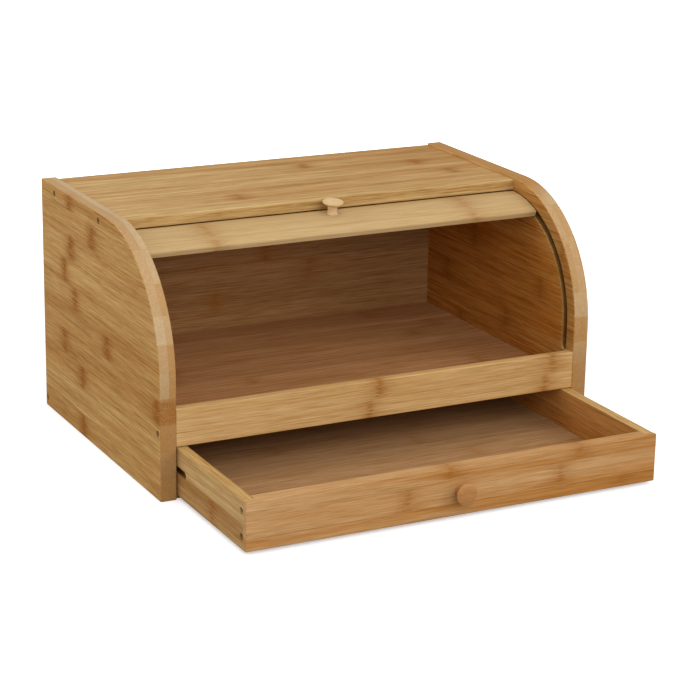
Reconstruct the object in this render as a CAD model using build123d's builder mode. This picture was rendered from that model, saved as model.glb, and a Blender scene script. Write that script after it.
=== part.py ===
from build123d import *
import os
from math import asin, cos, degrees, pi, sin

os.makedirs("parts", exist_ok=True)

# ---------------------------------------------------------------------------
# Driving dimensions, in millimetres.
# Frame: X to the right, Y to the back, Z up. The origin is the middle of the
# base's underside, so the cabinet stands on Z = 0 and is centred on X and Y.
# ---------------------------------------------------------------------------
cabinet_width = 400.0
cabinet_depth = 267.0
cabinet_height = 208.0
side_t = 14.5                # side panels
front_radius = 110.0         # quarter round at the front of the side panels
top_t = 9.5                  # flat top between the side panels
top_drop = 1.7               # the top lies this much below the side panels' upper edge
back_t = 8.0
base_t = 3.0
shelf_t = 8.0
shelf_top_z = 53.8
shelf_dado = 3.0             # the shelf's ends are let into the side panels
rail_t = 8.1
rail_bottom_z = 44.5
rail_top_z = 76.6
rail_setback = 0.5           # the rail stands behind the side panels' front edge
edge_r = 1.2                 # softened edges of the panels
small_edge_r = 0.6
top_edge_r = 2.0             # upper front edge of the top

# curtain groove in the side panels
groove_w = 8.0
groove_inset = 11.5          # from the panel's curved front edge to the groove
groove_depth = 6.0
groove_foot_z = 75.0         # stopped end, where the closed roll-top lands
groove_back_gap = 5.0        # stopped end at the back

# roll-top
slat_count = 12
slat_pitch = 12.35
slat_w = 11.4
slat_t = 5.0
slat_crown = 0.95
slat_end_gap = 0.7           # between a slat's shoulder and the side panel
tongue_t = 2.5
tongue_w = 4.0
tongue_len = 5.3             # how far a tongue reaches into the groove
curtain_sag = 2.0            # the stored curtain sinks this much in its groove
canvas_t = 0.5
canvas_margin = 6.0
lead_start = 0.6             # the lead bar's run along the curtain's track
lead_end = 42.0
lead_edge_t = 5.3
lead_face_gap = 0.3
lead_tongue_at = 30.0
lead_tongue_w = 10.5
lead_edge_r = 1.6

# knobs, the same turning on the lid and on the drawer
knob_r = 9.0
knob_h = 12.5
knob_cap_t = 3.2
knob_dome = 1.3              # rise of the domed face from its rounded rim
knob_rim = 0.8               # how far the rounded rim overhangs the dome and the neck
knob_foot_r = 5.0
knob_waist_r = 4.1
knob_neck_r = 5.2
knob_at = 10.7               # the lid knob's place along the curtain's track
knob_seat_depth = 0.3
knob_screw_r = 1.6
knob_screw_head_r = 3.2
knob_screw_head_t = 1.9
knob_screw_bite = 8.0

# drawer
drawer_gap = 0.8             # to each side panel
drawer_bottom_z = 3.4
drawer_top_z = 43.9
drawer_front_t = 12.0
drawer_side_t = 9.0
drawer_back_t = 9.0
drawer_lip = 5.0             # what the rabbet leaves of the drawer front's ends
drawer_floor_t = 3.0
drawer_floor_lift = 4.0      # the floor's groove above the drawer's lower edge
drawer_floor_groove = 3.5
drawer_travel = 131.0
drawer_back_gap = 1.0        # to the back panel when shut
slot_r = 3.3
slot_depth = 4.5
slot_z = 25.0
peg_r = 3.0
peg_y_from_front = 118.0
peg_proud = 4.8
peg_set = 8.0
drawer_knob_z = 24.0

# countersunk wood screws, sunk below the surface
screw_r = 1.6
screw_head_r = 2.3
screw_head_t = 1.9
screw_recess = 1.4
screw_len = 30.0
drawer_screw_len = 20.0

# ---------------------------------------------------------------------------
# Places worked out from the driving dimensions
# ---------------------------------------------------------------------------
front_y = -cabinet_depth / 2
back_y = cabinet_depth / 2
outer_x = cabinet_width / 2
inner_x = outer_x - side_t
arc_y = front_y + front_radius
arc_z = cabinet_height - front_radius
top_z = cabinet_height - top_drop
top_under_z = top_z - top_t
back_inner_y = back_y - back_t
rail_face_y = front_y + rail_setback
groove_r_out = front_radius - groove_inset
track_r = groove_r_out - groove_w / 2
quarter_run = track_r * pi / 2
drawer_face_y = rail_face_y - drawer_travel
drawer_back_y = back_inner_y - drawer_back_gap - drawer_travel
drawer_x = inner_x - drawer_gap
drawer_inner_x = drawer_x - drawer_side_t
floor_z = drawer_bottom_z + drawer_floor_lift
peg_y = front_y + peg_y_from_front


def track_plane(run, outward=0.0, at_x=0.0):
    """Plane across the curtain at a run along its track: local X runs forward, local Y outward."""
    if run <= 0:
        turn = 0.0
        y, z = arc_y - run, arc_z + track_r + outward
    else:
        turn = run / track_r
        y = arc_y - (track_r + outward) * sin(turn)
        z = arc_z + (track_r + outward) * cos(turn)
    return Plane(origin=(at_x, y, z), x_dir=(0, -cos(turn), -sin(turn)), z_dir=(-1, 0, 0))


def save(part, name):
    part.label = name
    export_step(part, f"parts/{name}.step")


def screw_outline(head_r, shank_r, head_t, length):
    """Half outline of a countersunk screw, from the middle of its head's face inward."""
    return [(0, 0), (head_r, 0), (shank_r, head_t), (shank_r, length), (0, length)]


# screw places on the side panels' outer faces, as (Y, Z)
top_screw_z = top_z - top_t / 2
cabinet_screw_places = [
    (front_y + 129.0, top_screw_z),
    (front_y + 234.0, top_screw_z),
    (rail_face_y + rail_t / 2, 56.5),
    (back_y - back_t / 2, 8.0),
]
# screw places on the drawer sides' outer faces, as (Y, Z)
drawer_screw_places = [
    (drawer_face_y + (drawer_lip + drawer_front_t) / 2, 13.5),
    (drawer_face_y + (drawer_lip + drawer_front_t) / 2, 34.4),
    (drawer_back_y - drawer_back_t / 2, 15.5),
    (drawer_back_y - drawer_back_t / 2, 36.5),
]

# ---------------------------------------------------------------------------
# Side panels: a quarter-round front, the curtain's groove, the shelf's dado,
# a rabbet for the base and the screw holes
# ---------------------------------------------------------------------------
with BuildPart() as side_panel_right:
    with BuildSketch(Plane.YZ.offset(inner_x)):
        with BuildLine():
            Line((arc_y, cabinet_height), (back_y, cabinet_height))
            Line((back_y, cabinet_height), (back_y, 0))
            Line((back_y, 0), (front_y, 0))
            Line((front_y, 0), (front_y, arc_z))
            CenterArc((arc_y, arc_z), front_radius, 180, -90)
        make_face()
    extrude(amount=side_t)
    rims = side_panel_right.faces().filter_by(Axis.X)
    fillet(rims.edges(), edge_r)

    # the groove: straight under the top, round the front and down behind the rail
    with BuildSketch(Plane.YZ.offset(inner_x)):
        with BuildLine():
            groove_back_y = back_inner_y - groove_back_gap
            outer_z = arc_z + groove_r_out
            inner_z = outer_z - groove_w
            outer_y = arc_y - groove_r_out
            inner_y = outer_y + groove_w
            Line((groove_back_y, outer_z), (arc_y, outer_z))
            CenterArc((arc_y, arc_z), groove_r_out, 90, 90)
            Line((outer_y, arc_z), (outer_y, groove_foot_z + groove_w / 2))
            ThreePointArc(
                (outer_y, groove_foot_z + groove_w / 2),
                (outer_y + groove_w / 2, groove_foot_z),
                (inner_y, groove_foot_z + groove_w / 2),
            )
            Line((inner_y, groove_foot_z + groove_w / 2), (inner_y, arc_z))
            CenterArc((arc_y, arc_z), groove_r_out - groove_w, 180, -90)
            Line((arc_y, inner_z), (groove_back_y, inner_z))
            ThreePointArc(
                (groove_back_y, inner_z),
                (groove_back_y + groove_w / 2, (inner_z + outer_z) / 2),
                (groove_back_y, outer_z),
            )
        make_face()
    extrude(amount=groove_depth, mode=Mode.SUBTRACT)

    # dado for the shelf, from behind the rail to the back panel
    with BuildSketch(Plane.YZ.offset(inner_x)):
        with Locations((rail_face_y + rail_t, shelf_top_z - shelf_t)):
            Rectangle(back_inner_y - rail_face_y - rail_t, shelf_t, align=(Align.MIN, Align.MIN))
    extrude(amount=shelf_dado, mode=Mode.SUBTRACT)

    # rabbet for the base in the lower inner edge
    with BuildSketch(Plane.YZ.offset(inner_x)):
        with Locations((front_y + base_t, 0)):
            Rectangle(back_inner_y - front_y - base_t, base_t, align=(Align.MIN, Align.MIN))
    extrude(amount=side_t / 2, mode=Mode.SUBTRACT)

    # blind hole for the drawer's stop peg
    with Locations(Location((inner_x, peg_y, slot_z), (0, -90, 0))):
        Hole(peg_r, depth=peg_set)

    # screw holes from outside, the heads sunk below the surface
    for y, z in cabinet_screw_places:
        with Locations(Location((outer_x, y, z), (0, 90, 0))):
            CounterBoreHole(screw_r, screw_head_r, screw_recess + screw_head_t, side_t)
save(side_panel_right.part, "side_panel_right")

with BuildPart() as side_panel_left:
    mirror(side_panel_right.part, about=Plane.YZ)
save(side_panel_left.part, "side_panel_left")

# ---------------------------------------------------------------------------
# Cabinet panels between the sides
# ---------------------------------------------------------------------------
with BuildPart() as top_panel:
    with BuildSketch(Plane.XY.offset(top_under_z)):
        with Locations((0, (arc_y - rail_setback + back_y) / 2)):
            Rectangle(2 * inner_x, back_y - arc_y + rail_setback)
    extrude(amount=top_t)
    front_edges = top_panel.edges().filter_by(Axis.X).group_by(Axis.Y)[0].sort_by(Axis.Z)
    fillet(front_edges[-1], top_edge_r)
    fillet(front_edges[0], small_edge_r)
    for side in (-1, 1):
        for y, z in cabinet_screw_places[:2]:
            with Locations(Location((side * inner_x, y, z), (0, side * 90, 0))):
                Hole(screw_r, depth=screw_len - side_t + screw_recess)
save(top_panel.part, "top_panel")

with BuildPart() as back_panel:
    with BuildSketch(Plane.XZ.offset(-back_inner_y)):
        with Locations((0, top_under_z / 2)):
            Rectangle(2 * inner_x, top_under_z)
    extrude(amount=-back_t)
    for side in (-1, 1):
        y, z = cabinet_screw_places[3]
        with Locations(Location((side * inner_x, y, z), (0, side * 90, 0))):
            Hole(screw_r, depth=screw_len - side_t + screw_recess)
save(back_panel.part, "back_panel")

with BuildPart() as base_panel:
    with BuildSketch():
        with Locations((0, (front_y + base_t + back_inner_y) / 2)):
            Rectangle(2 * inner_x + side_t, back_inner_y - front_y - base_t)
    extrude(amount=base_t)
save(base_panel.part, "base_panel")

with BuildPart() as bread_shelf:
    shelf_front_y = rail_face_y + rail_t
    with BuildSketch(Plane.XY.offset(shelf_top_z - shelf_t)):
        with Locations((0, (shelf_front_y + back_inner_y) / 2)):
            Rectangle(2 * (inner_x + shelf_dado), back_inner_y - shelf_front_y)
    extrude(amount=shelf_t)
save(bread_shelf.part, "bread_shelf")

with BuildPart() as front_rail:
    with BuildSketch(Plane.YZ.offset(-inner_x)):
        with Locations((rail_face_y, rail_bottom_z)):
            Rectangle(rail_t, rail_top_z - rail_bottom_z, align=(Align.MIN, Align.MIN))
    extrude(amount=2 * inner_x)
    fillet(front_rail.edges().filter_by(Axis.X).group_by(Axis.Z)[-1], edge_r)
    fillet(front_rail.edges().filter_by(Axis.X).group_by(Axis.Z)[0].sort_by(Axis.Y)[0], small_edge_r)
    for side in (-1, 1):
        y, z = cabinet_screw_places[2]
        with Locations(Location((side * inner_x, y, z), (0, side * 90, 0))):
            Hole(screw_r, depth=screw_len - side_t + screw_recess)
save(front_rail.part, "front_rail")

# ---------------------------------------------------------------------------
# Screws and pegs of the cabinet
# ---------------------------------------------------------------------------
with BuildPart() as cabinet_screws:
    for side in (-1, 1):
        for y, z in cabinet_screw_places:
            head_x = side * (outer_x - screw_recess)
            with BuildSketch(Plane(origin=(head_x, y, z), x_dir=(0, 1, 0), z_dir=(0, 0, side))):
                with BuildLine():
                    outline = screw_outline(screw_head_r, screw_r, screw_head_t, screw_len)
                    Polyline(*outline, close=True)
                make_face()
            revolve(axis=Axis((head_x, y, z), (1, 0, 0)))
save(cabinet_screws.part, "cabinet_screws")

for side, name in ((-1, "drawer_peg_left"), (1, "drawer_peg_right")):
    with BuildPart() as peg:
        with BuildSketch(Plane.YZ.offset(side * (inner_x - peg_proud))):
            with Locations((peg_y, slot_z)):
                Circle(peg_r)
        extrude(amount=side * (peg_proud + peg_set))
        chamfer(peg.faces().sort_by(Axis.X)[0 if side > 0 else -1].edges(), 0.4)
    save(peg.part, name)

# ---------------------------------------------------------------------------
# Roll-top: slats on canvas strips, stored under the top
# ---------------------------------------------------------------------------
slat_len = 2 * (inner_x - slat_end_gap)
canvas_len = 2 * (inner_x - canvas_margin)
slat_face = tongue_t / 2     # a tongue is flush with the slat's outer face

for i in range(slat_count):
    run = -(i + 0.5) * slat_pitch
    sag = curtain_sag * sin(pi * -run / (slat_count * slat_pitch))

    with BuildPart() as slat:
        with BuildSketch(track_plane(run, -sag, slat_len / 2)):
            with BuildLine():
                shoulder = slat_face - slat_crown
                ThreePointArc((-slat_w / 2, shoulder), (0, slat_face), (slat_w / 2, shoulder))
                Polyline(
                    (slat_w / 2, shoulder),
                    (slat_w / 2, slat_face - slat_t),
                    (-slat_w / 2, slat_face - slat_t),
                    (-slat_w / 2, shoulder),
                )
            make_face()
        extrude(amount=slat_len)
        with BuildSketch(track_plane(run, -sag, inner_x + tongue_len)):
            Rectangle(tongue_w, tongue_t)
        extrude(amount=2 * (inner_x + tongue_len))
    save(slat.part, f"slat_{i + 1:02d}")

    with BuildPart() as canvas:
        with BuildSketch(track_plane(run, slat_face - slat_t - canvas_t / 2 - sag, canvas_len / 2)):
            Rectangle(slat_w, canvas_t)
        extrude(amount=canvas_len)
    save(canvas.part, f"canvas_{i + 1:02d}")

# ---------------------------------------------------------------------------
# Lead bar: a wide slat with a convex face and a flat back, and its knob
# ---------------------------------------------------------------------------
lead_r = groove_r_out - lead_face_gap
lead_back_r = lead_r - lead_edge_t
turn_a = degrees(lead_start / track_r)
turn_b = degrees(lead_end / track_r)
knob_turn = degrees(knob_at / track_r)
arc_centre = Vector(0, arc_y, arc_z)


def arc_point(radius, turn):
    """(Y, Z) of a point on the front curve, turn degrees forward of the top."""
    angle = turn * pi / 180
    return arc_y - radius * sin(angle), arc_z + radius * cos(angle)


knob_out = Vector(0, *arc_point(1, knob_turn)) - arc_centre
knob_seat = arc_centre + knob_out * (lead_r - knob_seat_depth)
lead_back_mid_r = lead_back_r * cos((turn_b - turn_a) / 2 * pi / 180)
lead_back_at_knob_r = lead_back_mid_r / cos(((turn_a + turn_b) / 2 - knob_turn) * pi / 180)

with BuildPart() as lead_bar:
    with BuildSketch(Plane.YZ.offset(-slat_len / 2)):
        with BuildLine():
            CenterArc((arc_y, arc_z), lead_r, 90 + turn_a, turn_b - turn_a)
            Line(arc_point(lead_r, turn_b), arc_point(lead_back_r, turn_b))
            Line(arc_point(lead_back_r, turn_b), arc_point(lead_back_r, turn_a))
            Line(arc_point(lead_back_r, turn_a), arc_point(lead_r, turn_a))
        make_face()
    extrude(amount=slat_len)
    long_edges = lead_bar.edges().filter_by(Axis.X)
    fillet(long_edges.sort_by(Axis.Y)[:2].sort_by(Axis.Z)[-1], lead_edge_r)
    fillet(lead_bar.edges().filter_by(Axis.X).group_by(Axis.Z)[-1], small_edge_r)
    with BuildSketch(track_plane(lead_tongue_at, 0, inner_x + tongue_len)):
        Rectangle(lead_tongue_w, tongue_t)
    extrude(amount=2 * (inner_x + tongue_len))
    # flat seat for the knob's foot, and the screw's hole with a countersink at the back
    with BuildSketch(Plane(origin=knob_seat, x_dir=(1, 0, 0), z_dir=knob_out)):
        Circle(knob_foot_r + 0.1)
    extrude(amount=2 * knob_seat_depth, mode=Mode.SUBTRACT)
    screw_mouth = arc_centre + knob_out * lead_back_at_knob_r
    with Locations(Plane(origin=screw_mouth, x_dir=(1, 0, 0), z_dir=-knob_out).location):
        CounterBoreHole(knob_screw_r, knob_screw_head_r, knob_screw_head_t, 2 * lead_edge_t)
save(lead_bar.part, "lead_bar")

with BuildPart() as canvas_lead:
    turn_mid = (turn_a + turn_b) / 2
    back_plane = Plane(
        origin=(canvas_len / 2, *arc_point(lead_back_mid_r - canvas_t / 2, turn_mid)),
        x_dir=(0, -cos(turn_mid * pi / 180), -sin(turn_mid * pi / 180)),
        z_dir=(-1, 0, 0),
    )
    with BuildSketch(back_plane):
        Rectangle(lead_end - lead_start - 6, canvas_t)
    extrude(amount=canvas_len)
    with Locations(Plane(origin=screw_mouth, x_dir=(1, 0, 0), z_dir=-knob_out).location):
        Cylinder(knob_screw_head_r + 1, 6 * canvas_t, mode=Mode.SUBTRACT)
save(canvas_lead.part, "canvas_lead")


def turn_knob(seat, out, reach):
    """Mushroom knob: foot, waist and domed cap, with a blind hole for its screw."""
    across = Vector(1, 0, 0)
    with BuildPart() as knob:
        with BuildSketch(Plane(origin=seat, x_dir=across, z_dir=across.cross(out))):
            with BuildLine():
                cap_z = knob_h - knob_cap_t
                brow_r = knob_r - knob_rim
                dome_r = (brow_r**2 + knob_dome**2) / (2 * knob_dome)
                dome_half = degrees(asin(brow_r / dome_r))
                Line((0, 0), (knob_foot_r, 0))
                waist = (knob_waist_r, cap_z * 0.45)
                cove = ThreePointArc((knob_foot_r, 0), waist, (knob_neck_r, cap_z - knob_rim))
                under = Line(cove @ 1, (brow_r, cap_z))
                dome = CenterArc((0, knob_h - dome_r), dome_r, 90 - dome_half, dome_half)
                ThreePointArc(under @ 1, (knob_r, (cap_z + (dome @ 0).Y) / 2), dome @ 0)
                Line(dome @ 1, (0, 0))
            make_face()
        revolve(axis=Axis(seat, out))
        with Locations(Plane(origin=seat, x_dir=(1, 0, 0), z_dir=-out).location):
            Hole(knob_screw_r, depth=reach)
    return knob.part


def knob_screw(mouth, inward, length):
    """Flat-headed screw that goes into a knob from behind."""
    across = Vector(1, 0, 0)
    with BuildPart() as screw:
        with BuildSketch(Plane(origin=mouth, x_dir=across, z_dir=across.cross(inward))):
            with BuildLine():
                outline = screw_outline(knob_screw_head_r, knob_screw_r, knob_screw_head_t, length)
                Polyline(*outline, close=True)
            make_face()
        revolve(axis=Axis(mouth, inward))
    return screw.part


save(turn_knob(knob_seat, knob_out, knob_screw_bite), "lid_knob")
bar_at_knob = lead_r - knob_seat_depth - lead_back_at_knob_r
save(knob_screw(screw_mouth, knob_out, bar_at_knob + knob_screw_bite), "lid_knob_screw")

# ---------------------------------------------------------------------------
# Drawer, pulled out to its stop
# ---------------------------------------------------------------------------
drawer_h = drawer_top_z - drawer_bottom_z
side_front_y = drawer_face_y + drawer_lip

with BuildPart() as drawer_front:
    with BuildSketch(Plane.XY.offset(drawer_bottom_z)):
        with BuildLine():
            Polyline(
                (-drawer_x, drawer_face_y),
                (drawer_x, drawer_face_y),
                (drawer_x, side_front_y),
                (drawer_inner_x, side_front_y),
                (drawer_inner_x, drawer_face_y + drawer_front_t),
                (-drawer_inner_x, drawer_face_y + drawer_front_t),
                (-drawer_inner_x, side_front_y),
                (-drawer_x, side_front_y),
                close=True,
            )
        make_face()
    extrude(amount=drawer_h)
    fillet(drawer_front.faces().sort_by(Axis.Y)[0].edges(), small_edge_r)
    # groove for the drawer's floor, on the inside
    with BuildSketch(Plane.XZ.offset(-(drawer_face_y + drawer_front_t))):
        with Locations((0, floor_z)):
            Rectangle(2 * drawer_inner_x, drawer_floor_t, align=(Align.CENTER, Align.MIN))
    extrude(amount=drawer_floor_groove, mode=Mode.SUBTRACT)
    for side in (-1, 1):
        for y, z in drawer_screw_places[:2]:
            with Locations(Location((side * drawer_inner_x, y, z), (0, side * 90, 0))):
                Hole(screw_r, depth=drawer_screw_len - drawer_side_t + screw_recess)
    with Locations(Location((0, drawer_face_y + drawer_front_t, drawer_knob_z), (-90, 0, 0))):
        CounterBoreHole(knob_screw_r, knob_screw_head_r, knob_screw_head_t, drawer_front_t)
save(drawer_front.part, "drawer_front")

with BuildPart() as drawer_side_right:
    with BuildSketch(Plane.YZ.offset(drawer_inner_x)):
        with Locations((side_front_y, drawer_bottom_z)):
            Rectangle(drawer_back_y - side_front_y, drawer_h, align=(Align.MIN, Align.MIN))
    extrude(amount=drawer_side_t)
    fillet(drawer_side_right.edges().filter_by(Axis.Y).group_by(Axis.Z)[-1], small_edge_r)
    # stopped slot that runs on the peg
    with BuildSketch(Plane.YZ.offset(drawer_x)):
        with Locations((peg_y - drawer_travel / 2, slot_z)):
            SlotCenterToCenter(drawer_travel, 2 * slot_r)
    extrude(amount=-slot_depth, mode=Mode.SUBTRACT)
    # groove for the drawer's floor
    with BuildSketch(Plane.YZ.offset(drawer_inner_x)):
        with Locations((side_front_y, floor_z)):
            Rectangle(
                drawer_back_y - side_front_y, drawer_floor_t, align=(Align.MIN, Align.MIN)
            )
    extrude(amount=drawer_floor_groove, mode=Mode.SUBTRACT)
    for y, z in drawer_screw_places:
        with Locations(Location((drawer_x, y, z), (0, 90, 0))):
            CounterBoreHole(screw_r, screw_head_r, screw_recess + screw_head_t, drawer_side_t)
save(drawer_side_right.part, "drawer_side_right")

with BuildPart() as drawer_side_left:
    mirror(drawer_side_right.part, about=Plane.YZ)
save(drawer_side_left.part, "drawer_side_left")

with BuildPart() as drawer_back:
    back_low_z = floor_z + drawer_floor_t
    with BuildSketch(Plane.XZ.offset(-drawer_back_y)):
        with Locations((0, back_low_z)):
            Rectangle(2 * drawer_inner_x, drawer_top_z - back_low_z, align=(Align.CENTER, Align.MIN))
    extrude(amount=drawer_back_t)
    for side in (-1, 1):
        for y, z in drawer_screw_places[2:]:
            with Locations(Location((side * drawer_inner_x, y, z), (0, side * 90, 0))):
                Hole(screw_r, depth=drawer_screw_len - drawer_side_t + screw_recess)
save(drawer_back.part, "drawer_back")

with BuildPart() as drawer_floor:
    floor_front_y = drawer_face_y + drawer_front_t - drawer_floor_groove
    with BuildSketch(Plane.XY.offset(floor_z)):
        with Locations((0, (floor_front_y + drawer_back_y) / 2)):
            Rectangle(2 * (drawer_inner_x + drawer_floor_groove), drawer_back_y - floor_front_y)
    extrude(amount=drawer_floor_t)
save(drawer_floor.part, "drawer_floor")

with BuildPart() as drawer_screws:
    for side in (-1, 1):
        for y, z in drawer_screw_places:
            head_x = side * (drawer_x - screw_recess)
            with BuildSketch(Plane(origin=(head_x, y, z), x_dir=(0, 1, 0), z_dir=(0, 0, side))):
                with BuildLine():
                    outline = screw_outline(screw_head_r, screw_r, screw_head_t, drawer_screw_len)
                    Polyline(*outline, close=True)
                make_face()
            revolve(axis=Axis((head_x, y, z), (1, 0, 0)))
save(drawer_screws.part, "drawer_screws")

knob_front = Vector(0, -1, 0)
drawer_knob_seat = Vector(0, drawer_face_y, drawer_knob_z)
drawer_screw_mouth = Vector(0, drawer_face_y + drawer_front_t, drawer_knob_z)
save(turn_knob(drawer_knob_seat, knob_front, knob_screw_bite), "drawer_knob")
save(
    knob_screw(drawer_screw_mouth, knob_front, drawer_front_t + knob_screw_bite),
    "drawer_knob_screw",
)
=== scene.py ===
import math

import bpy
from mathutils import Matrix, Vector


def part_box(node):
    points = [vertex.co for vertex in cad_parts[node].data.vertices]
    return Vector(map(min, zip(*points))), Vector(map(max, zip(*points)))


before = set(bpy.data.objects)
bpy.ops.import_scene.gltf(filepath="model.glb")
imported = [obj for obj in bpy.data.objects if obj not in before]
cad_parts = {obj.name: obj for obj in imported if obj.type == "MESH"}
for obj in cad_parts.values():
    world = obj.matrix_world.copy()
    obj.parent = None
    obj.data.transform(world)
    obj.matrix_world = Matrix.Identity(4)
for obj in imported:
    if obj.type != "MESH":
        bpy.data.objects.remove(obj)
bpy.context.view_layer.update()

# ---------------------------------------------------------------------------
# Side panels: two plies of bamboo strips, laid front to back and glued edge to
# edge, sawn to a quarter round and oiled. The plant's knots are brown smears
# across a strip, the outer edge is pale, and the inner face is painted deeper
# and redder as painted shade for the inside of the box.
# ---------------------------------------------------------------------------
BOARD_REACH = 0.6            # range of the knots' places along a board, in metres
SIDE_STRIP = 0.0217
SIDE_PLY = 0.0082
SIDE_THICKNESS = 0.0145
SIDE_FOOT = -0.0012          # the lowest strip starts this much below the base
FRONT_RADIUS = 0.110
RIM = 0.004                  # depth of the pale outer edge

side_low, side_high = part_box("side_panel_left")
arc_y = side_low[1] + FRONT_RADIUS
arc_z = side_high[2] - FRONT_RADIUS

side_pale = (0.485, 0.276, 0.092, 1)
side_warm = (0.392, 0.190, 0.048, 1)
# painted shade: the sides' inner faces, deeper and redder than the outside, for the shade and bounce
# light inside the box
inner_shade_pale = (0.470, 0.196, 0.042, 1)
inner_shade_warm = (0.420, 0.152, 0.024, 1)
rim_pale = (0.505, 0.356, 0.200, 1)
rim_low = (0.365, 0.202, 0.082, 1)
rim_behind = (0.400, 0.205, 0.070, 1)
knot_brown = (0.272, 0.090, 0.009, 1)
# painted shade for the inside of grooves, slots and holes
painted_recess_shade = (0.075, 0.026, 0.005, 1)
# the darker brown of the rings round the screw holes
hole_ring_brown = (0.012, 0.006, 0.003, 1)
SCREW_HOLE = 0.0023          # radius
DARK_RING = 0.0007           # width of the dark ring round a screw hole
CUT_START = 0.0010           # painted shade: a groove, slot or hole is painted darker from this far under a board's faces
CUT_FULL = 0.0022            # and is fully dark from here on
# middles of the screw holes along Y and Z, in millimetres
side_holes = ((129.5, 8), (-128.95, 56.5), (100.5, 201.55), (-4.5, 201.55))

# places of the knots along Y in millimetres, strip by strip from the bottom
NO_KNOT = -300               # beyond the end of every board
left_outer_knots = (38, NO_KNOT, 39, 81, -20, 54, 78, 62, 11, 64)
left_front_knots = (NO_KNOT, NO_KNOT, NO_KNOT, -127.5) + 6 * (NO_KNOT,)
left_inner_knots = (-60, 20, 110, -200, 45, -95, 15, -40, 90, -10)
right_outer_knots = (-45, 70, -10, 25, 96, -80, 30, -30, 60, 5)
right_inner_knots = (30, -70, 60, -20, 88, -76, 40, -110, 20, 75)


def add_node(tree, kind, inputs=None, **options):
    """Add a shader node, set its options, then link or set its inputs."""
    shader = tree.nodes.new(kind)
    for option, value in options.items():
        setattr(shader, option, value)
    for socket, value in (inputs or {}).items():
        if isinstance(value, bpy.types.NodeSocket):
            tree.links.new(value, shader.inputs[socket])
        else:
            shader.inputs[socket].default_value = value
    return shader


def calc(tree, operation, *values, clamp=False):
    """Output of a Math node."""
    return add_node(
        tree, "ShaderNodeMath", dict(enumerate(values)), operation=operation, use_clamp=clamp
    ).outputs[0]


def ease(tree, value, start, end, low=0.0, high=1.0):
    """Value eased from low at start to high at end."""
    return add_node(
        tree, "ShaderNodeMapRange", {0: value, 1: start, 2: end, 3: low, 4: high},
        interpolation_type="SMOOTHSTEP",
    ).outputs[0]


def mix_colour(tree, share, first, second):
    """Output of a colour Mix node."""
    return add_node(
        tree, "ShaderNodeMix", {0: share, 6: first, 7: second}, data_type="RGBA"
    ).outputs[2]


def split(tree, vector):
    """The three components of a vector."""
    return add_node(tree, "ShaderNodeSeparateXYZ", {0: vector}).outputs


def join(tree, x, y, z):
    """Vector of three components."""
    return add_node(tree, "ShaderNodeCombineXYZ", {0: x, 1: y, 2: z}).outputs[0]


def combine(tree, operation, first, second, third=(0, 0, 0)):
    """Vector output of a Vector Math node."""
    return add_node(
        tree, "ShaderNodeVectorMath", {0: first, 1: second, 2: third}, operation=operation
    ).outputs[0]


def noise(tree, place, detail=3.0, roughness=0.6):
    """Factor of a noise texture at a place that is already scaled."""
    return add_node(
        tree, "ShaderNodeTexNoise",
        {"Vector": place, "Scale": 1.0, "Detail": detail, "Roughness": roughness},
    ).outputs["Fac"]


def new_group(name, inputs, outputs):
    """Empty shader group with named sockets: (tree, its input node, its output node)."""
    tree = bpy.data.node_groups.new(name, "ShaderNodeTree")
    for socket, kind in inputs:
        tree.interface.new_socket(socket, in_out="INPUT", socket_type="NodeSocket" + kind)
    for socket, kind in outputs:
        tree.interface.new_socket(socket, in_out="OUTPUT", socket_type="NodeSocket" + kind)
    return tree, tree.nodes.new("NodeGroupInput"), tree.nodes.new("NodeGroupOutput")


# Bamboo: strips with their own tone, long fibres, knots and fine glue lines.
# Board runs along the fibres in X, across the strips in Y and through in Z.
STRIP_SHIFT = 40             # how far apart two strips take their noise
bamboo, given, made = new_group(
    "bamboo strips",
    [("Board", "Vector"), ("Strip Width", "Float"), ("Ply", "Float"), ("Knot At", "Float"),
     ("Second Knot", "Float"), ("Knot Spacing", "Float"), ("Knots", "Float"), ("Tone", "Float"),
     ("Tone Spread", "Float"), ("Pale", "Color"), ("Warm", "Color"), ("Knot Colour", "Color"),
     ("Rim", "Float"), ("Rim Colour", "Color"), ("Fibres", "Float"), ("Seed", "Float")],
    [("Colour", "Color"), ("Roughness", "Float"), ("Height", "Float")],
)
asked = given.outputs
board = split(bamboo, asked["Board"])
across = calc(bamboo, "DIVIDE", board[1], asked["Strip Width"])
ply = calc(bamboo, "FLOOR", calc(bamboo, "DIVIDE", board[2], asked["Ply"]))
cell = join(bamboo, calc(bamboo, "FLOOR", across), ply, asked["Seed"])
chance = add_node(bamboo, "ShaderNodeTexWhiteNoise", {"Vector": cell}, noise_dimensions="3D").outputs
own_place = combine(bamboo, "MULTIPLY", chance["Color"], 3 * (STRIP_SHIFT,))


def fibre_noise(along, over, detail, roughness):
    """Noise around zero, waves per metre along and over the fibres, new in every strip."""
    drawn = combine(bamboo, "MULTIPLY_ADD", asked["Board"], (along, over, over), own_place)
    return calc(bamboo, "SUBTRACT", noise(bamboo, drawn, detail, roughness), 0.5)


streak = fibre_noise(along=3.0, over=95, detail=2.0, roughness=0.5)
bundle = fibre_noise(along=8.0, over=330, detail=3.0, roughness=0.6)
fibre = fibre_noise(along=22, over=900, detail=3.0, roughness=0.7)
pore = fibre_noise(along=60, over=2200, detail=1.0, roughness=0.5)

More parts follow.
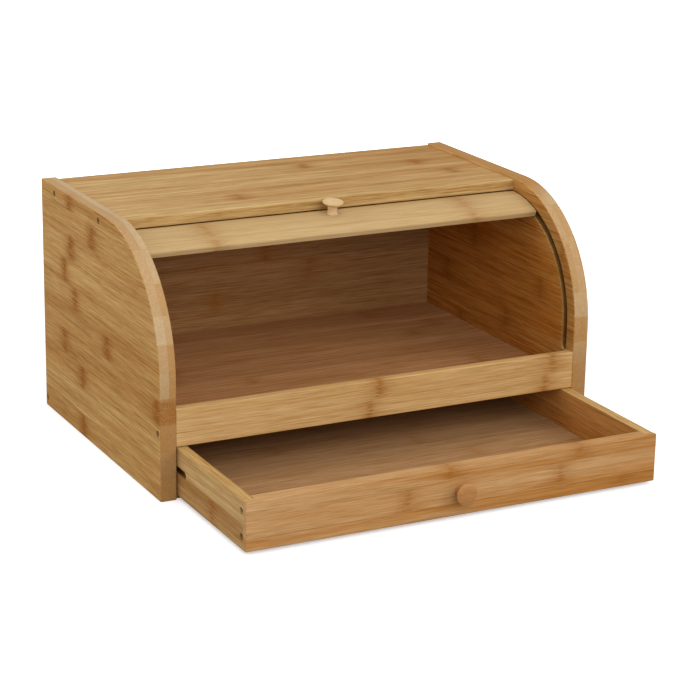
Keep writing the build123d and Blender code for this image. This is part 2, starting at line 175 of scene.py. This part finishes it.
# each strip has its own tone between pale and warm, with streaks of both
STREAK_TONE = 3.6
BUNDLE_TONE = 2.4
RIM_VARIETY = 0.8            # how far a block of the outer edge goes towards the warm colour
tone = calc(bamboo, "SUBTRACT", chance["Value"], 0.5)
tone = calc(bamboo, "MULTIPLY_ADD", tone, asked["Tone Spread"], asked["Tone"])
tone = calc(bamboo, "MULTIPLY_ADD", streak, calc(bamboo, "MULTIPLY", asked["Fibres"], STREAK_TONE), tone)
tone = calc(bamboo, "MULTIPLY_ADD", bundle, BUNDLE_TONE, tone, clamp=True)
ground = mix_colour(bamboo, tone, asked["Pale"], asked["Warm"])
rim_tone = calc(bamboo, "MULTIPLY", chance["Value"], RIM_VARIETY)
rim_tone = mix_colour(bamboo, rim_tone, asked["Rim Colour"], asked["Warm"])
ground = mix_colour(bamboo, asked["Rim"], ground, rim_tone)

# the fibres' light and shade, weaker on the outer edge
BUNDLE_SHADE = 0.75
FIBRE_SHADE = 1.45
PORE_SHADE = 0.60
DARK_FIBRE = 0.13            # the strongest fibres are this much darker again
RIM_FIBRES = 0.3             # share of the fibres that the outer edge keeps
shades = calc(bamboo, "MULTIPLY", bundle, BUNDLE_SHADE)
shades = calc(bamboo, "MULTIPLY_ADD", fibre, FIBRE_SHADE, shades)
shades = calc(bamboo, "MULTIPLY_ADD", pore, PORE_SHADE, shades)
shades = calc(bamboo, "MULTIPLY_ADD", ease(bamboo, fibre, start=0.06, end=0.22), -DARK_FIBRE, shades)
shades = calc(bamboo, "MULTIPLY", shades, asked["Fibres"])
shades = calc(bamboo, "MULTIPLY", shades, ease(bamboo, asked["Rim"], 0.0, 1.0, 1.0, RIM_FIBRES))

# the glue line between two strips
SEAM_CORE = 0.0001           # half width of its dark middle
SEAM_REACH = 0.0007          # where it has faded out
SEAM_SHADE = 0.12
RIM_SEAM = 0.4               # share of the glue lines that the outer edge keeps
in_strip = calc(bamboo, "FRACT", across)
gap = calc(bamboo, "MINIMUM", in_strip, calc(bamboo, "SUBTRACT", 1.0, in_strip))
from_seam = calc(bamboo, "MULTIPLY", gap, asked["Strip Width"])
seam = ease(bamboo, from_seam, SEAM_CORE, SEAM_REACH, low=1.0, high=0.0)
seam = calc(bamboo, "MULTIPLY", seam, ease(bamboo, asked["Rim"], 0.0, 1.0, 1.0, RIM_SEAM))

# where the wood is darkened it is reddened too
GREEN_POWER = 1.4
BLUE_POWER = 2.1
shade = calc(bamboo, "ADD", calc(bamboo, "MULTIPLY_ADD", seam, -SEAM_SHADE, shades), 1.0)
green_shade = calc(bamboo, "POWER", shade, GREEN_POWER)
redden = join(bamboo, shade, green_shade, calc(bamboo, "POWER", shade, BLUE_POWER))
grained = combine(bamboo, "MULTIPLY", ground, redden)

# a knot: a soft smear across the strip, broken up by the fibres
KNOT_WANDER = 0.006          # how far it runs to and fro along the board
KNOT_CORE, CORE_SHARE = 0.0030, 0.40      # half width and strength
KNOT_SMEAR, SMEAR_SHARE = 0.0105, 0.90
KNOT_HALO, HALO_SHARE = 0.020, 0.14
KNOT_COVER = 0.82            # how much of the wood's own colour it hides
wander = fibre_noise(along=0, over=95, detail=2.0, roughness=0.5)
away = calc(bamboo, "SUBTRACT", board[0], asked["Knot At"])
away = calc(bamboo, "DIVIDE", away, asked["Knot Spacing"])
away = calc(bamboo, "SUBTRACT", away, calc(bamboo, "ROUND", away))
away = calc(bamboo, "MULTIPLY", away, asked["Knot Spacing"])
wander = calc(bamboo, "MULTIPLY", wander, KNOT_WANDER)
away = calc(bamboo, "ABSOLUTE", calc(bamboo, "ADD", away, wander))
second = calc(bamboo, "SUBTRACT", board[0], asked["Second Knot"])
away = calc(bamboo, "MINIMUM", away, calc(bamboo, "ABSOLUTE", calc(bamboo, "ADD", second, wander)))


def bell(reach):
    """Soft bump of the given half width round the knot."""
    share = calc(bamboo, "DIVIDE", away, reach)
    squared = calc(bamboo, "MULTIPLY", share, share)
    return calc(bamboo, "EXPONENT", calc(bamboo, "MULTIPLY", squared, -1.0))


tufts = fibre_noise(along=70, over=800, detail=3.0, roughness=0.8)
ragged = ease(bamboo, tufts, start=-0.12, end=0.10, low=0.20)
smear = calc(bamboo, "MULTIPLY", bell(KNOT_SMEAR), SMEAR_SHARE)
knot = calc(bamboo, "MULTIPLY_ADD", bell(KNOT_CORE), CORE_SHARE, smear)
knot = calc(bamboo, "MULTIPLY", knot, ragged)
knot = calc(bamboo, "MULTIPLY", knot, ease(bamboo, gap, start=0.0, end=0.12, low=0.30))
knot = calc(bamboo, "MULTIPLY_ADD", bell(KNOT_HALO), HALO_SHARE, knot)
knot = calc(bamboo, "MULTIPLY", knot, calc(bamboo, "MULTIPLY", asked["Knots"], KNOT_COVER), clamp=True)

# a satin oil finish, with the fibres just felt
ROUGHNESS = 0.55
ROUGHNESS_SPREAD = 0.3
PORE_RISE = 0.3
SEAM_DIP = 0.5
bamboo.links.new(mix_colour(bamboo, knot, grained, asked["Knot Colour"]), made.inputs["Colour"])
roughness = calc(bamboo, "MULTIPLY_ADD", fibre, ROUGHNESS_SPREAD, ROUGHNESS)
bamboo.links.new(roughness, made.inputs["Roughness"])
height = calc(bamboo, "MULTIPLY_ADD", pore, PORE_RISE, fibre)
height = calc(bamboo, "MULTIPLY_ADD", seam, -SEAM_DIP, height)
bamboo.links.new(height, made.inputs["Height"])


def strip_values(tree, over, strip_width, values, low, high):
    """One value for each strip, from a list between low and high."""
    count = len(values)
    ramp = add_node(tree, "ShaderNodeValToRGB", {0: calc(tree, "DIVIDE", over, strip_width * count)})
    ramp.color_ramp.interpolation = "CONSTANT"
    stops = ramp.color_ramp.elements
    while len(stops) < count:
        stops.new(0.5)
    for i, value in enumerate(values):
        share = (value - low) / (high - low)
        stops[i].position = i / count
        stops[i].color = (share, share, share, 1)
    return calc(tree, "MULTIPLY_ADD", ramp.outputs["Color"], high - low, low)


SCATTER_START = 0.37         # where the chance places of unlisted knots are taken from
SIDEWAYS = 0.1               # X times the normal's X passes this on a side's outer face
TOP_LOSES_KNOTS = 0.85       # share of the knots that the upward outer edge loses
# strength of the painted shade inside grooves, slots and holes
CUT_SHADE = 0.6
RING_DARKNESS = 0.85


def bamboo_finish(name, axes, start, strip_width, ply_width, pale, warm, knots=(), more_knots=(),
                  second_ply_knots=(), inner=None, top_rim=None, cut_from=None, holes=(), tones=(),
                  tone=0.5, tone_spread=0.7, painted_sheen_drift=0.0, knot_spacing=BOARD_REACH, knot_strength=1.0,
                  fibres=1.1, seed=0.0):
    """Oiled bamboo for one board: which way its fibres run, its colours, strips and knots.

    inner is the pale and warm colour of the face towards the middle of the box, painted
    shade for the inside of the box; top_rim the colour of the outer edge behind the curve,
    and cut_from the board's own box, for the painted shade in its grooves, slots and holes.
    """
    material = bpy.data.materials.new(name)
    material.use_nodes = True
    tree = material.node_tree
    surface = tree.nodes["Principled BSDF"]
    coordinates = add_node(tree, "ShaderNodeTexCoord").outputs
    here = split(tree, coordinates["Object"])
    facing = split(tree, coordinates["Normal"])
    place = combine(tree, "SUBTRACT", join(tree, *(here[axis] for axis in axes)), start)
    along, over, through = split(tree, place)

    def listed(places):
        """Where each strip's knot is along the board, from a list in millimetres."""
        metres = [at / 1000 for at in places]
        return strip_values(tree, over, strip_width, metres, -BOARD_REACH / 2, BOARD_REACH / 2)

    second_knot = listed(more_knots) if more_knots else -BOARD_REACH
    if knots:
        knot_at = listed(knots)
    else:
        strip_number = calc(tree, "FLOOR", calc(tree, "DIVIDE", over, strip_width))
        scatter = add_node(
            tree, "ShaderNodeTexWhiteNoise", {"W": calc(tree, "ADD", strip_number, seed + SCATTER_START)},
            noise_dimensions="1D",
        ).outputs["Value"]
        knot_at = calc(tree, "MULTIPLY", scatter, knot_spacing)
    if second_ply_knots:
        second_ply = calc(tree, "GREATER_THAN", through, ply_width)
        further = calc(tree, "SUBTRACT", listed(second_ply_knots), knot_at)
        knot_at = calc(tree, "MULTIPLY_ADD", second_ply, further, knot_at)

    if tones:
        tone = strip_values(tree, over, strip_width, tones, low=0, high=1)
    # painted sheen: the tone drifts paler to the left and warmer to the right, as sheen and light fall
    # across the board
    if painted_sheen_drift:
        tone = calc(tree, "MULTIPLY_ADD", along, painted_sheen_drift, tone)
    edge, edge_colour, outermost = 0.0, rim_pale, 0.0
    inner_shade_share = 1.0
    if top_rim:
        ahead = calc(tree, "MINIMUM", calc(tree, "SUBTRACT", here[1], arc_y), 0.0)
        above = calc(tree, "MAXIMUM", calc(tree, "SUBTRACT", here[2], arc_z), 0.0)
        squares = calc(tree, "MULTIPLY_ADD", ahead, ahead, calc(tree, "MULTIPLY", above, above))
        radius = calc(tree, "SQRT", squares)
        outermost = ease(tree, radius, FRONT_RADIUS - RIM, FRONT_RADIUS - RIM / 2)
        sideways = calc(tree, "ABSOLUTE", facing[0])
        edgeways = ease(tree, sideways, start=0.45, end=0.85, low=1.0, high=0.0)
        edge = calc(tree, "MULTIPLY", outermost, edgeways)
        # the outer edge is browner at the foot of the front, and may differ behind the curve
        raised = ease(tree, here[2], start=0.050, end=0.110)
        edge_colour = mix_colour(tree, raised, rim_low, rim_pale)
        behind = ease(tree, ahead, start=-0.055, end=-0.015)
        edge_colour = mix_colour(tree, behind, edge_colour, top_rim)
        upward = calc(tree, "MULTIPLY", edge, ease(tree, facing[2], start=0.3, end=0.7))
        fewer = calc(tree, "MULTIPLY_ADD", upward, -TOP_LOSES_KNOTS, 1.0)
        knot_strength = calc(tree, "MULTIPLY", fewer, knot_strength)
        inner_shade_share = ease(
            tree, radius, start=FRONT_RADIUS - 0.030, end=FRONT_RADIUS - 0.010, low=1.0, high=0.3)
    if inner:
        # painted shade: a side's face towards the middle of the box is painted deeper in colour, less so
        # near the curved edge where more light falls
        inward = calc(tree, "LESS_THAN", calc(tree, "MULTIPLY", here[0], facing[0]), -SIDEWAYS)
        inward = calc(tree, "MULTIPLY", inward, inner_shade_share)
        pale = mix_colour(tree, inward, pale, inner[0])
        warm = mix_colour(tree, inward, warm, inner[1])

    wood = add_node(tree, "ShaderNodeGroup", {
        "Board": place, "Strip Width": strip_width, "Ply": ply_width, "Knot At": knot_at,
        "Second Knot": second_knot, "Knot Spacing": knot_spacing, "Knots": knot_strength,
        "Tone": tone, "Tone Spread": tone_spread, "Pale": pale, "Warm": warm,
        "Knot Colour": knot_brown, "Rim": edge, "Rim Colour": edge_colour, "Fibres": fibres,
        "Seed": seed,
    }, node_tree=bamboo)
    colour = wood.outputs["Colour"]
    if cut_from:
        # painted shade: grooves, slots and screw holes are painted darker inside, where shade falls
        inside = calc(tree, "SUBTRACT", 1.0, outermost)
        for low, high, at in zip(*cut_from, here):
            half = (high - low) / 2
            off = calc(tree, "ABSOLUTE", calc(tree, "SUBTRACT", at, (low + high) / 2))
            deep = ease(tree, off, half - CUT_FULL, half - CUT_START, low=1.0, high=0.0)
            inside = calc(tree, "MULTIPLY", inside, deep)
        colour = mix_colour(tree, calc(tree, "MULTIPLY", inside, CUT_SHADE), colour, painted_recess_shade)
    if holes:
        # a dark ring on the outer face round each screw hole
        nearest = 1.0  # metres, farther than any hole
        for hole_y, hole_z in holes:
            off_y = calc(tree, "SUBTRACT", here[1], hole_y / 1000)
            off_z = calc(tree, "SUBTRACT", here[2], hole_z / 1000)
            squares = calc(tree, "MULTIPLY_ADD", off_y, off_y, calc(tree, "MULTIPLY", off_z, off_z))
            nearest = calc(tree, "MINIMUM", nearest, calc(tree, "SQRT", squares))
        outward = calc(tree, "GREATER_THAN", calc(tree, "MULTIPLY", here[0], facing[0]), SIDEWAYS)
        ring = ease(tree, nearest, SCREW_HOLE, SCREW_HOLE + DARK_RING, low=RING_DARKNESS, high=0.0)
        colour = mix_colour(tree, calc(tree, "MULTIPLY", ring, outward), colour, hole_ring_brown)
    relief = add_node(
        tree, "ShaderNodeBump", {"Height": wood.outputs["Height"], "Strength": 0.3, "Distance": 0.0002}
    )
    tree.links.new(colour, surface.inputs["Base Color"])
    tree.links.new(wood.outputs["Roughness"], surface.inputs["Roughness"])
    tree.links.new(relief.outputs["Normal"], surface.inputs["Normal"])
    surface.inputs["Specular IOR Level"].default_value = 0.02
    return material


def dress(node, material):
    """Give a CAD node its finish."""
    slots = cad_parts[node].data.materials
    slots.clear()
    slots.append(material)


ALONG_Y = (1, 2, 0)          # fibres front to back, strips stacked upwards
ALONG_X = (0, 1, 2)          # fibres left to right, strips side by side in depth
ALONG_X_UPRIGHT = (0, 2, 1)  # fibres left to right, strips stacked upwards

dress("side_panel_left", bamboo_finish(
    "bamboo left side", ALONG_Y, (0, SIDE_FOOT, side_low[0]), SIDE_STRIP, SIDE_PLY, side_pale, side_warm,
    left_outer_knots, left_front_knots, left_inner_knots, inner=(inner_shade_pale, inner_shade_warm),
    top_rim=rim_pale, cut_from=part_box("side_panel_left"), holes=side_holes, knot_strength=1.25,
    fibres=1.05, seed=3.0))
dress("side_panel_right", bamboo_finish(
    "bamboo right side", ALONG_Y, (0, SIDE_FOOT, -side_low[0] - SIDE_THICKNESS), SIDE_STRIP,
    SIDE_THICKNESS - SIDE_PLY, side_pale, side_warm, right_inner_knots,
    second_ply_knots=right_outer_knots, inner=(inner_shade_pale, inner_shade_warm), top_rim=rim_behind,
    cut_from=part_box("side_panel_right"), holes=side_holes, knot_strength=0.8, seed=8.0))

# ---------------------------------------------------------------------------
# Top panel: one ply of strips laid left to right, lighter than the sides, let
# in between them a little below their upper edges.
# ---------------------------------------------------------------------------
BOARD_STRIP = 0.0217
ONE_PLY = 0.2                # wider than any board is thick
TOP_LAP = 0.0005             # the first strip starts this much in front of the curve's end
top_pale = (0.492, 0.316, 0.128, 1)
top_warm = (0.385, 0.194, 0.058, 1)
# strip by strip from the front: from pale (0) to warm (1), and a knot's place along X
top_tones = (0.0, 0.35, 0.5, 0.35, 0.65, 0.40, 0.80, 0.85)
top_knots =(NO_KNOT, -66, 153, NO_KNOT, 138, 36, NO_KNOT, NO_KNOT)

# painted sheen: the top's tone drifts paler to the left
dress("top_panel", bamboo_finish(
    "bamboo top", ALONG_X, (0, arc_y - TOP_LAP, 0), BOARD_STRIP, ONE_PLY, top_pale, top_warm, top_knots,
    tones=top_tones, tone_spread=0.1, painted_sheen_drift=2.2, knot_strength=0.9, fibres=1.0, seed=5.0))

# ---------------------------------------------------------------------------
# Back panel, base and bread shelf: duller boards with strips laid left to
# right, glued into the side panels.
# ---------------------------------------------------------------------------
DULL_STRIP = 0.0225
SHELF_START = 0.005          # place along Y of one of the shelf's glue lines
back_pale = (0.375, 0.195, 0.078, 1)
back_warm = (0.290, 0.145, 0.052, 1)
shelf_pale = (0.470, 0.228, 0.092, 1)
shelf_warm = (0.400, 0.184, 0.070, 1)

dress("back_panel", bamboo_finish(
    "bamboo back", ALONG_X_UPRIGHT, (0, 0, 0), DULL_STRIP, ONE_PLY, back_pale, back_warm,
    knot_spacing=0.31, knot_strength=0.7, fibres=0.9, seed=11.0))
dress("base_panel", bamboo_finish(
    "bamboo base", ALONG_X, (0, 0, 0), DULL_STRIP, ONE_PLY, back_pale, back_warm,
    knot_spacing=0.33, knot_strength=0.6, seed=13.0))
dress("bread_shelf", bamboo_finish(
    "bamboo shelf", ALONG_X, (0, SHELF_START, 0), DULL_STRIP, ONE_PLY, shelf_pale, shelf_warm,
    knot_spacing=0.37, knot_strength=0.5, fibres=0.9, seed=17.0))

# ---------------------------------------------------------------------------
# Front rail: a flat upright strip that closes the foot of the opening, glued
# and screwed between the side panels, with its upper edge rounded.
# ---------------------------------------------------------------------------
RAIL_STRIP = 0.0200
RAIL_LAP = 0.004             # the lowest strip starts this much below the rail
rail_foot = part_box("front_rail")[0][2]
rail_pale = (0.545, 0.346, 0.150, 1)
rail_warm = (0.482, 0.272, 0.094, 1)
# strip by strip from the bottom
rail_tones = (0.42, 0.34, 0.0)
rail_knots = (-12, -3, -3)
rail_right_knots = (158, 166, 166)

# painted sheen: the rail's tone drifts paler to the left
dress("front_rail", bamboo_finish(
    "bamboo rail", ALONG_X_UPRIGHT, (0, rail_foot - RAIL_LAP, 0), RAIL_STRIP, ONE_PLY, rail_pale,
    rail_warm, rail_knots, rail_right_knots, tones=rail_tones, tone_spread=0.2, painted_sheen_drift=1.2,
    knot_strength=0.72, fibres=0.7, seed=21.0))

# ---------------------------------------------------------------------------
# Roll-top: narrow slats glued to canvas, and a wide convex lead bar in front.
# The tongues at their ends run in the side panels' grooves.
# ---------------------------------------------------------------------------
BAR_STRIP = 0.0300
BAR_START = -0.085           # places along Y where the first strip starts
SLAT_PITCH = 0.01235
SLAT_START = -0.0235
SLATS = 12
bar_pale = (0.520, 0.356, 0.172, 1)
bar_warm = (0.435, 0.268, 0.108, 1)
bar_left_knots = 3 * (-120,)
bar_right_knots = 3 * (124,)
slat_pale = (0.490, 0.290, 0.120, 1)
slat_warm = (0.410, 0.215, 0.072, 1)

# painted sheen: the lead bar's tone drifts paler to the left
dress("lead_bar", bamboo_finish(
    "bamboo lead bar", ALONG_X, (0, BAR_START, 0), BAR_STRIP, ONE_PLY, bar_pale, bar_warm,
    bar_left_knots, bar_right_knots, tone=0.35, tone_spread=0.3, painted_sheen_drift=0.8, knot_strength=0.5,
    fibres=0.42, seed=23.0))
slat_finish = bamboo_finish(
    "bamboo slats", ALONG_X, (0, SLAT_START, 0), SLAT_PITCH, ONE_PLY, slat_pale, slat_warm,
    knot_spacing=0.3, knot_strength=0.7, fibres=0.6, seed=29.0)
for i in range(1, SLATS + 1):
    dress(f"slat_{i:02d}", slat_finish)

# plain weave: threads both ways, a little uneven in colour
THREADS_PER_METRE = 1400
FUZZ_PER_METRE = 220
CROSSING_MEAN = 0.5
CROSSING_SWING = 0.25
canvas_dark = (0.36, 0.31, 0.22, 1)
canvas_light = (0.58, 0.52, 0.40, 1)
canvas = bpy.data.materials.new("canvas")
canvas.use_nodes = True
weave = canvas.node_tree
cloth = weave.nodes["Principled BSDF"]
here = add_node(weave, "ShaderNodeTexCoord").outputs["Object"]
threads = [
    calc(weave, "SINE", calc(weave, "MULTIPLY", axis, THREADS_PER_METRE * math.tau))
    for axis in split(weave, here)[:2]
]
crossing = calc(weave, "MULTIPLY_ADD", calc(weave, "MULTIPLY", *threads), CROSSING_SWING, CROSSING_MEAN)
fuzz = noise(weave, combine(weave, "MULTIPLY", here, 3 * (FUZZ_PER_METRE,)))
cream = mix_colour(weave, calc(weave, "MULTIPLY", crossing, calc(weave, "ADD", fuzz, 0.5)),
                   canvas_dark, canvas_light)
weave.links.new(cream, cloth.inputs["Base Color"])
cloth.inputs["Roughness"].default_value = 0.92
knit = add_node(weave, "ShaderNodeBump", {"Height": crossing, "Strength": 0.5, "Distance": 0.0003})
weave.links.new(knit.outputs["Normal"], cloth.inputs["Normal"])
for node in ["canvas_lead"] + [f"canvas_{i:02d}" for i in range(1, SLATS + 1)]:
    dress(node, canvas)

# ---------------------------------------------------------------------------
# Knobs: two small turned mushrooms, the lid's of pale bamboo and the drawer's
# browner, held by a screw from behind. The stop pegs are of the pale wood.
# ---------------------------------------------------------------------------
KNOB_BLANK = 0.5             # a knob is turned from one strip
knob_pale = (0.640, 0.446, 0.238, 1)
knob_warm = (0.550, 0.365, 0.175, 1)
drawer_knob_pale = (0.450, 0.225, 0.086, 1)
drawer_knob_warm = (0.375, 0.170, 0.056, 1)

lid_knob_wood = bamboo_finish(
    "bamboo lid knob", ALONG_X, (0, -KNOB_BLANK / 2, 0), KNOB_BLANK, ONE_PLY, knob_pale, knob_warm,
    knot_strength=0.0, fibres=0.35, seed=31.0)
dress("lid_knob", lid_knob_wood)
dress("drawer_knob", bamboo_finish(
    "bamboo drawer knob", ALONG_X, (0, -KNOB_BLANK, 0), KNOB_BLANK, ONE_PLY, drawer_knob_pale,
    drawer_knob_warm, knot_strength=0.0, fibres=0.45, seed=37.0))
for node in ("drawer_peg_left", "drawer_peg_right"):
    dress(node, lid_knob_wood)

# ---------------------------------------------------------------------------
# Drawer: a front, two grooved sides, a back and a thin floor, screwed together
# at the corners. Each side is two strips high, the upper one paler.
# ---------------------------------------------------------------------------
DRAWER_STRIP = 0.02025
FRONT_LAP = 0.010            # the front's lowest strip starts this much below it
FLOOR_START = -0.01          # place along Y of one of the floor's glue lines
drawer_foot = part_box("drawer_front")[0][2]
front_pale = (0.498, 0.284, 0.122, 1)
front_warm = (0.392, 0.168, 0.042, 1)
drawer_side_pale = (0.560, 0.362, 0.150, 1)
drawer_side_warm = (0.355, 0.180, 0.058, 1)
# painted shade: the drawer sides' inner faces, deeper and redder for the shade inside the drawer
drawer_inner_shade_pale = (0.470, 0.215, 0.060, 1)
drawer_inner_shade_warm = (0.430, 0.175, 0.040, 1)
floor_pale = (0.385, 0.214, 0.096, 1)
floor_warm = (0.335, 0.178, 0.074, 1)
# strip by strip from the bottom
front_tones = (1.0, 0.26, 0.34)
front_knots = (152, -47, -9)
front_right_knots = (NO_KNOT, 93, 112)
drawer_side_tones = (0.95, 0.05)
drawer_side_knots = (-200, NO_KNOT)
# middles of the sides' screw holes along Y and Z, in millimetres
drawer_holes = ((-255.5, 13.5), (-255.5, 34.4), (-11, 15.5), (-11, 36.5))

# painted sheen: the front's tone drifts paler to the left
dress("drawer_front", bamboo_finish(
    "bamboo drawer front", ALONG_X_UPRIGHT, (0, drawer_foot - FRONT_LAP, 0), RAIL_STRIP, ONE_PLY,
    front_pale, front_warm, front_knots, front_right_knots, tones=front_tones,
    tone_spread=0.1, painted_sheen_drift=2.3, knot_strength=0.62, fibres=0.7, seed=41.0))
for node in ("drawer_side_left", "drawer_side_right"):
    dress(node, bamboo_finish(
        f"bamboo {node}", ALONG_Y, (0, drawer_foot, 0), DRAWER_STRIP, ONE_PLY, drawer_side_pale,
        drawer_side_warm, drawer_side_knots, inner=(drawer_inner_shade_pale, drawer_inner_shade_warm),
        cut_from=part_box(node), holes=drawer_holes, tones=drawer_side_tones, tone_spread=0.1,
        knot_strength=0.8, fibres=0.8, seed=43.0))
dress("drawer_back", bamboo_finish(
    "bamboo drawer back", ALONG_X_UPRIGHT, (0, drawer_foot, 0), DRAWER_STRIP, ONE_PLY, front_pale,
    front_warm, knot_spacing=0.3, seed=47.0))
dress("drawer_floor", bamboo_finish(
    "bamboo drawer floor", ALONG_X, (0, FLOOR_START, 0), DULL_STRIP, ONE_PLY, floor_pale, floor_warm,
    knot_spacing=0.37, knot_strength=0.4, fibres=0.8, seed=53.0))

# ---------------------------------------------------------------------------
# Screws: blackened wood screws sunk in their holes at the corners, and plated
# ones that hold the knobs from behind.
# ---------------------------------------------------------------------------
SCUFFS_PER_METRE = 900
soot = (0.003, 0.002, 0.002, 1)
worn_steel = (0.014, 0.011, 0.009, 1)
dull_zinc = (0.42, 0.42, 0.43, 1)
bright_zinc = (0.60, 0.61, 0.62, 1)


def screw_finish(name, dark, light, metallic, specular, smooth, rough):
    """Screw metal, a little uneven in colour and shine."""
    material = bpy.data.materials.new(name)
    material.use_nodes = True
    tree = material.node_tree
    metal = tree.nodes["Principled BSDF"]
    here = add_node(tree, "ShaderNodeTexCoord").outputs["Object"]
    scuffs = noise(tree, combine(tree, "MULTIPLY", here, 3 * (SCUFFS_PER_METRE,)))
    tree.links.new(mix_colour(tree, scuffs, dark, light), metal.inputs["Base Color"])
    tree.links.new(calc(tree, "MULTIPLY_ADD", scuffs, rough - smooth, smooth), metal.inputs["Roughness"])
    metal.inputs["Metallic"].default_value = metallic
    metal.inputs["Specular IOR Level"].default_value = specular
    return material


black_steel = screw_finish(
    "blackened steel", soot, worn_steel, metallic=0.6, specular=0.2, smooth=0.4, rough=0.7)
plated_steel = screw_finish(
    "zinc plated steel", dull_zinc, bright_zinc, metallic=1.0, specular=0.5, smooth=0.28, rough=0.42)
for node in ("cabinet_screws", "drawer_screws"):
    dress(node, black_steel)
for node in ("lid_knob_screw", "drawer_knob_screw"):
    dress(node, plated_steel)

# ---------------------------------------------------------------------------
# Studio: a white floor that keeps only a close contact shadow, four soft boxes
# round the camera side of the box, and the camera.
# ---------------------------------------------------------------------------
FLOOR_BOUNCE = 0.42          # how much light the floor throws back at the box
FLOOR_SEEN = 0.9             # how pale it looks to the camera
FLOOR_GLOW = 0.42            # how much it shines by itself under the box
FLOOR_SIZE = 12
SHADOW_KEPT = 0.35           # distances from the origin where the shadow starts to fade
SHADOW_GONE = 1.0            # and is gone
AMBIENT = 0.6                # how strongly the white world lights the box
AIM = Vector((0, 0, 0.1))    # the lamps point here, about the middle of the box

scene = bpy.context.scene
scene.view_settings.view_transform = "Standard"


def seen_share(tree):
    """One for what the camera sees, straight, mirrored or through glass."""
    rays = add_node(tree, "ShaderNodeLightPath").outputs
    through = calc(tree, "MAXIMUM", rays["Is Glossy Ray"], rays["Is Transmission Ray"])
    return calc(tree, "MAXIMUM", rays["Is Camera Ray"], through)


bpy.ops.object.select_all(action="DESELECT")
bpy.ops.mesh.primitive_plane_add(size=FLOOR_SIZE, location=(0, 0, 0))
floor = bpy.context.object
floor.name = "studio_floor"
paper = bpy.data.materials.new("white paper")
paper.use_nodes = True
tree = paper.node_tree
tree.nodes.clear()
seen = seen_share(tree)
paleness = calc(tree, "MULTIPLY_ADD", seen, FLOOR_SEEN - FLOOR_BOUNCE, FLOOR_BOUNCE)
matt = add_node(tree, "ShaderNodeBsdfDiffuse", {"Color": join(tree, paleness, paleness, paleness)})
here = add_node(tree, "ShaderNodeTexCoord").outputs["Object"]
far = add_node(tree, "ShaderNodeVectorMath", {0: here}, operation="LENGTH").outputs["Value"]
glow_strength = ease(tree, far, SHADOW_KEPT, SHADOW_GONE, low=FLOOR_GLOW, high=1.0)
glow_strength = calc(tree, "MULTIPLY", seen, glow_strength)
glow = add_node(tree, "ShaderNodeEmission", {"Color": (1, 1, 1, 1), "Strength": glow_strength})
both = add_node(tree, "ShaderNodeAddShader", {0: matt.outputs[0], 1: glow.outputs[0]})
add_node(tree, "ShaderNodeOutputMaterial", {"Surface": both.outputs[0]})
floor.data.materials.append(paper)

world = bpy.data.worlds.new("studio")
scene.world = world
world.use_nodes = True
tree = world.node_tree
tree.nodes.clear()
strength = calc(tree, "MULTIPLY_ADD", seen_share(tree), 1.0 - AMBIENT, AMBIENT)
sky = add_node(tree, "ShaderNodeBackground", {"Color": (1, 1, 1, 1), "Strength": strength})
add_node(tree, "ShaderNodeOutputWorld", {"Surface": sky.outputs[0]})


def soft_box(name, place, size, power):
    """Square area lamp that points at the middle of the box."""
    lamp = bpy.data.lights.new(name, "AREA")
    lamp.size = size
    lamp.energy = power
    holder = bpy.data.objects.new(name, lamp)
    scene.collection.objects.link(holder)
    holder.location = place
    holder.rotation_euler = (AIM - Vector(place)).to_track_quat("-Z", "Y").to_euler()


soft_box("overhead", place=(0.3, 0.1, 2.0), size=1.6, power=6.6)
soft_box("front right", place=(1.4, -2.0, 1.3), size=1.4, power=18)
soft_box("camera side", place=(-0.6, -2.4, 1.4), size=1.4, power=29)
soft_box("left", place=(-2.0, 0.5, 0.9), size=1.4, power=13)

# the camera as it was fitted to the corners of the box in the photo
eye = bpy.data.cameras.new("camera")
eye.lens = 113.612
eye.sensor_width = 36
camera = bpy.data.objects.new("camera", eye)
scene.collection.objects.link(camera)
look_right = Vector((0.88955772, -0.45647209, 0.01789686))
look_down = Vector((-0.12115753, -0.27351924, -0.95420547))
look_ahead = Vector((0.44046330, 0.84665250, -0.29861618))
camera_place = (-0.827177, -1.662109, 0.645364)
turn = Matrix((look_right, -look_down, -look_ahead)).transposed()
camera.matrix_world = Matrix.Translation(camera_place) @ turn.to_4x4()
scene.camera = camera
